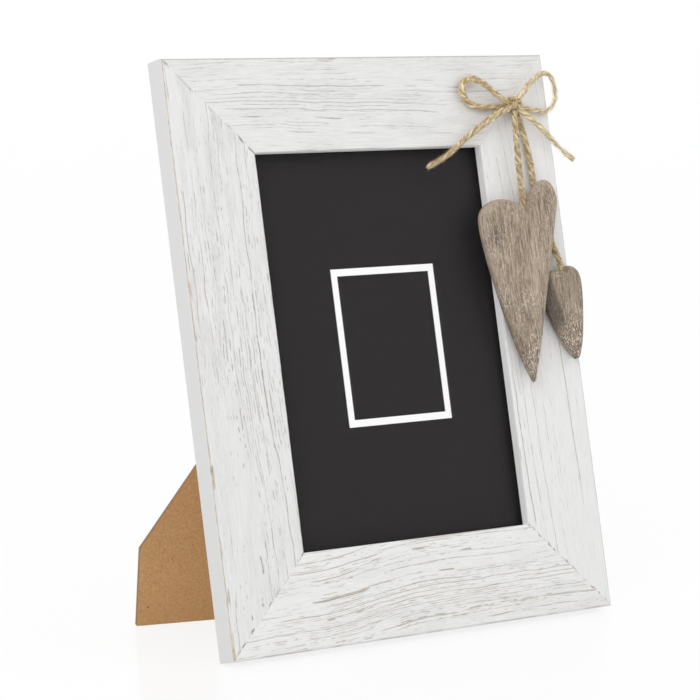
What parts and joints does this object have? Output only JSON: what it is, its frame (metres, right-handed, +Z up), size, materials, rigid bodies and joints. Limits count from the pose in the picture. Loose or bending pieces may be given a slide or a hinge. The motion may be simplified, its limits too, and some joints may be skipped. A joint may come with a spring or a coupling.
{
  "type": "heart motif photo frame",
  "caption": "Standing wooden picture frame with mitred whitewashed moulding, glass, turn-button back, diagonal easel leg, and a twine bow that carries hanging wooden hearts.",
  "frame": {"origin": "on the table, midway across the frame and midway between its front and the foot of its leg", "axes": "+Z up, +X to the right as seen from the front, +Y from the front to the back; the frame leans back by 12.44 degrees"},
  "size_m": [0.2108, 0.0961, 0.2482],
  "materials": {
    "whitewashed_wood": "thin white paint rubbed over open grain, matt",
    "clear_glass": "clear float glass",
    "black_card": "satin black print with a white keyline",
    "brown_hardboard": "brown hardboard, smooth face",
    "zinc_plated_steel": "zinc plated",
    "jute_twine": "laid jute twine, slightly hairy",
    "grey_brown_wood": "weathered grey brown wood with pale rubbed flecks",
    "clear_glue": "hardened glue"
  },
  "bodies": {
    "frame": {"back_board": "brown_hardboard", "bottom_rail": "whitewashed_wood", "bow_glue": "clear_glue", "bow_knot": "jute_twine", "bow_loop_left": "jute_twine", "bow_loop_right": "jute_twine", "bow_tail_left": "jute_twine", "bow_tail_right": "jute_twine", "button_screw_1": "zinc_plated_steel", "button_screw_2": "zinc_plated_steel", "button_screw_3": "zinc_plated_steel", "button_screw_4": "zinc_plated_steel", "corner_nail_bottom_left": "zinc_plated_steel", "corner_nail_bottom_right": "zinc_plated_steel", "corner_nail_top_left": "zinc_plated_steel", "corner_nail_top_right": "zinc_plated_steel", "glass_pane": "clear_glass", "hanger_rivet": "zinc_plated_steel", "hanger_strap": "zinc_plated_steel", "hinge_board_leaf": "zinc_plated_steel", "hinge_board_rivet_1": "zinc_plated_steel", "hinge_board_rivet_2": "zinc_plated_steel", "hinge_pin": "zinc_plated_steel", "insert_card": "black_card", "left_stile": "whitewashed_wood", "right_stile": "whitewashed_wood", "top_rail": "whitewashed_wood"},
    "easel_leg": {"easel_leg": "brown_hardboard", "hinge_leg_leaf": "zinc_plated_steel", "hinge_leg_rivet_1": "zinc_plated_steel", "hinge_leg_rivet_2": "zinc_plated_steel"},
    "turn_button_1": {"turn_button_1": "zinc_plated_steel"},
    "turn_button_2": {"turn_button_2": "zinc_plated_steel"},
    "turn_button_3": {"turn_button_3": "zinc_plated_steel"},
    "turn_button_4": {"turn_button_4": "zinc_plated_steel"},
    "hanger_ring": {"hanger_ring": "zinc_plated_steel"},
    "large_heart": {"large_heart": "grey_brown_wood", "large_heart_string": "jute_twine"},
    "small_heart": {"small_heart": "grey_brown_wood", "small_heart_string": "jute_twine"}
  },
  "joints": [
    {"name": "leg_hinge", "type": "hinge", "parent": "frame", "child": "easel_leg", "pos_m": [-0.00095, -0.00157, 0.15286], "axis": [0.866, -0.1077, -0.4883], "range_deg": [-24.8, 0]},
    {"name": "button_turn_1", "type": "hinge", "parent": "frame", "child": "turn_button_1", "pos_m": [-0.07345, -0.00061, 0.16698], "axis": [0, 0.9765, -0.2154], "continuous": true},
    {"name": "button_turn_2", "type": "hinge", "parent": "frame", "child": "turn_button_2", "pos_m": [-0.07345, -0.01999, 0.0791], "axis": [0, 0.9765, -0.2154], "continuous": true},
    {"name": "button_turn_3", "type": "hinge", "parent": "frame", "child": "turn_button_3", "pos_m": [0.07155, -0.00061, 0.16698], "axis": [0, 0.9765, -0.2154], "continuous": true},
    {"name": "button_turn_4", "type": "hinge", "parent": "frame", "child": "turn_button_4", "pos_m": [0.07155, -0.01999, 0.0791], "axis": [0, 0.9765, -0.2154], "continuous": true},
    {"name": "hanger_ring_swing", "type": "hinge", "parent": "frame", "child": "hanger_ring", "pos_m": [-0.00095, 0.00889, 0.20073], "axis": [1, 0, 0], "range_deg": [-12, 165]},
    {"name": "large_heart_swing", "type": "hinge", "parent": "frame", "child": "large_heart", "pos_m": [0.07665, 0.00097, 0.22521], "axis": [0, 0.9765, -0.2154], "range_deg": [0, 15]},
    {"name": "small_heart_swing", "type": "hinge", "parent": "frame", "child": "small_heart", "pos_m": [0.07665, 0.00097, 0.22521], "axis": [0, 0.9765, -0.2154], "range_deg": [-10, 0]}
  ]
}
